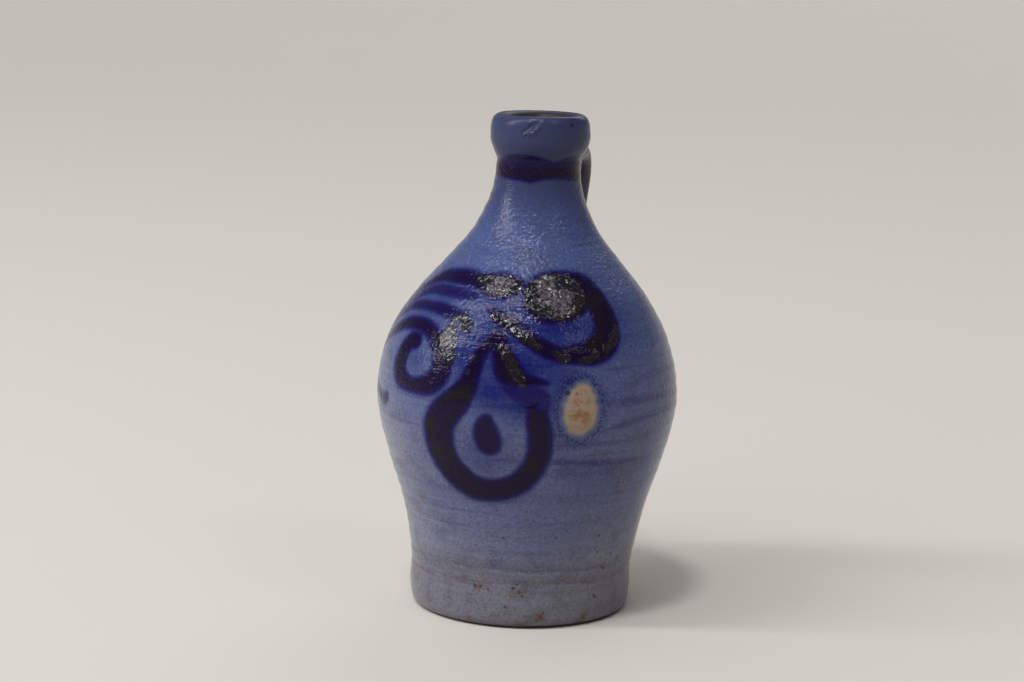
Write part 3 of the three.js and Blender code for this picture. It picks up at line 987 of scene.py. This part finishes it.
def relief(skin):  # a dimpled skin, rough on the shoulder, calm on the collar, smoothed by what lies on it
    look, up = skin.look, skin.up
    domes = skin.wire.cells(skin.place, domeSize)
    peel = skin.noise("peel") * look["peel"] + skin.noise("finePeel") * look["finePeel"]
    peel = peel - domes * domes * look["domes"]
    peel = peel * (0.5 + 0.3 * up.above(132, 144) * up.above(168, 154) - 0.24 * up.above(186, 194))
    rings = (skin.fineBands * look["fineLines"] + skin.bands * look["wideLines"]) * look["rings"]
    smooth = (1 - skin.bared * 0.8) * (1 - skin.crusted * 0.6) * (1 - skin.core * 0.25)
    height = peel * smooth + rings + skin.stain * look["stain"] + skin.core * look["thickPaint"]
    height = height + skin.crusted * (skin.wrinkles * look["wrinkles"] - skin.cracks * look["cracks"])
    height = height + skin.bared * (skin.grain * look["scarGrain"] - look["scarDepth"])
    return skin.wire.node("ShaderNodeBump", {}, {"Strength": 1, "Distance": mm, "Height": height}, "Normal")


def sheen(skin):  # roughness of the glaze, the crusts, the scar, the hollow, the foot's edge and the collar
    look = skin.look
    rough = look["roughness"] + 0.08 * skin.blotches + 0.04 * skin.grain
    rough = rough + (skin.flecks * 0.1 - skin.crusted * 0.04)
    rough = rough + skin.bared * look["scarRough"] + (1 - skin.outside) * look["insideRough"]
    return rough + skin.rim * look["rimRough"] + skin.up.above(190, 197) * look["collarRough"]


def saltGlaze(name, look):
    skin = Skin(name, look)
    painted = stoneware(skin)
    for layer in (firing, cobalt, crusts, scar, smallMarks, rims):
        painted = layer(skin, painted)
    normal = relief(skin)
    roughness = sheen(skin)
    coat = look["crustCoat"]
    shader = skin.wire.node("ShaderNodeBsdfPrincipled", {}, {
        "Base Color": painted, "Roughness": roughness, "Normal": normal, "IOR": look["index"],
        "Coat Weight": skin.crusted * (coat["weight"] - coat["paleLess"] * skin.cover),
        "Coat Roughness": coat["roughness"], "Coat IOR": coat["index"],
    })
    skin.wire.node("ShaderNodeOutputMaterial", {}, {"Surface": shader})
    return skin.sheet


bodyGlaze = saltGlaze("salt_glaze_body", {**glaze, "marks": specks, "grooves": body["grooves"], "rings": 1})
plain = {**glaze, "marks": {}, "grooves": [], "rings": 0}
strapLook = {**plain, "strapShare": 0.9, "roughness": 0.2}
handleGlaze = saltGlaze("salt_glaze_handle", strapLook)
lutingGlaze = saltGlaze("salt_glaze_luting", {**strapLook, "roughness": 0.16})
thrownBody.data.materials.append(bodyGlaze)
strapHandle.data.materials.append(handleGlaze)
for piece in jointPieces:
    piece.data.materials.append(lutingGlaze)
print("glazes made")


# A plain pale floor, soft lamps and the camera

studio = {
    "sweep": colour(194, 190, 182),
    "sweepRoughness": 0.75,
    "sweepShine": 0.2,
    "sides": 96,
    "flatRadius": 3,  # in metres; past it the floor curves up gently
    "bend": 12,
    "bendAngle": 24,
    "bendParts": 12,
    "sky": colour(222, 222, 224),
    "skyLight": 0.25,
    # a tall window: azimuth and elevation, distance and size in metres, and how far it is rolled
    "window": {"at": (-58, 41), "away": 2.5, "size": (0.2, 1.9), "roll": -28, "share": 0.5},
    # far soft lamps: azimuth and elevation, how wide they look, and the share of full light that each gives
    "lamps": {
        "front": {"at": (-20, 42), "width": 50, "share": 0.38, "gloss": False},
        "left": {"at": (-114, 24), "width": 78, "share": 0.34, "gloss": False},
        "top": {"at": (-6, 66), "width": 8, "share": 0.3, "gloss": True},
        "right": {"at": (66, 50), "width": 6, "share": 0.05, "gloss": True},
        "back": {"at": (175, 40), "width": 40, "share": 0.14, "gloss": True},
    },
}
camera = {
    "place": (259.92, -970.03, 289.65),
    "turn": (80.025, -1.506, 15.668),
    "lens": 84.375,
    "film": 36,
}

profile = [(0, 0), (studio["flatRadius"] / 2, 0)]
for step in range(studio["bendParts"] + 1):
    lift = math.radians(studio["bendAngle"] * step / studio["bendParts"])
    out = studio["flatRadius"] + studio["bend"] * math.sin(lift)
    profile.append((out, studio["bend"] * (1 - math.cos(lift))))
floorMesh = turned(profile, studio["sides"], mm)
for face in floorMesh.faces:
    face.smooth = True
    if face.normal.z < 0:
        face.normal_flip()
floor = meshObject("floor", floorMesh)
floorSheet, floorWire = blankSheet("pale_floor")
matt = floorWire.node("ShaderNodeBsdfPrincipled", {}, {
    "Base Color": studio["sweep"], "Roughness": studio["sweepRoughness"],
    "Specular IOR Level": studio["sweepShine"],
})
floorWire.node("ShaderNodeOutputMaterial", {}, {"Surface": matt})
floor.data.materials.append(floorSheet)

world = bpy.data.worlds.new("studio")
bpy.context.scene.world = world
world.use_nodes = True
world.node_tree.nodes.clear()
sky = Wire(world.node_tree)
glow = sky.node("ShaderNodeBackground", {}, {"Color": studio["sky"], "Strength": studio["skyLight"]})
sky.node("ShaderNodeOutputWorld", {}, {"Surface": glow})


def hang(light, at, away):  # a lamp that faces the jug
    turn, lift = [math.radians(angle) for angle in at]
    holder = newObject(light.name, light)
    way = Vector((math.sin(turn) * math.cos(lift), -math.cos(turn) * math.cos(lift), math.sin(lift)))
    holder.location = way * away
    holder.rotation_euler = way.to_track_quat("Z", "Y").to_euler()
    return holder


window = studio["window"]
pane = bpy.data.lights.new("window", "AREA")
pane.shape = "RECTANGLE"
pane.size, pane.size_y = window["size"]
pane.energy = math.pi ** 2 * window["share"] * window["away"] ** 2
hang(pane, window["at"], window["away"]).rotation_euler.rotate_axis("Z", math.radians(window["roll"]))
for name, lamp in studio["lamps"].items():
    light = bpy.data.lights.new(name, "SUN")
    light.angle = math.radians(lamp["width"])
    light.energy = math.pi * lamp["share"]
    hang(light, lamp["at"], 1).visible_glossy = lamp["gloss"]

lens = bpy.data.cameras.new("camera")
lens.sensor_width = camera["film"]
lens.lens = camera["lens"]
viewer = newObject("camera", lens)
viewer.location = Vector(camera["place"]) * mm
viewer.rotation_euler = [math.radians(angle) for angle in camera["turn"]]
bpy.context.scene.camera = viewer
bpy.context.scene.view_settings.view_transform = "Standard"
print("studio and camera set")
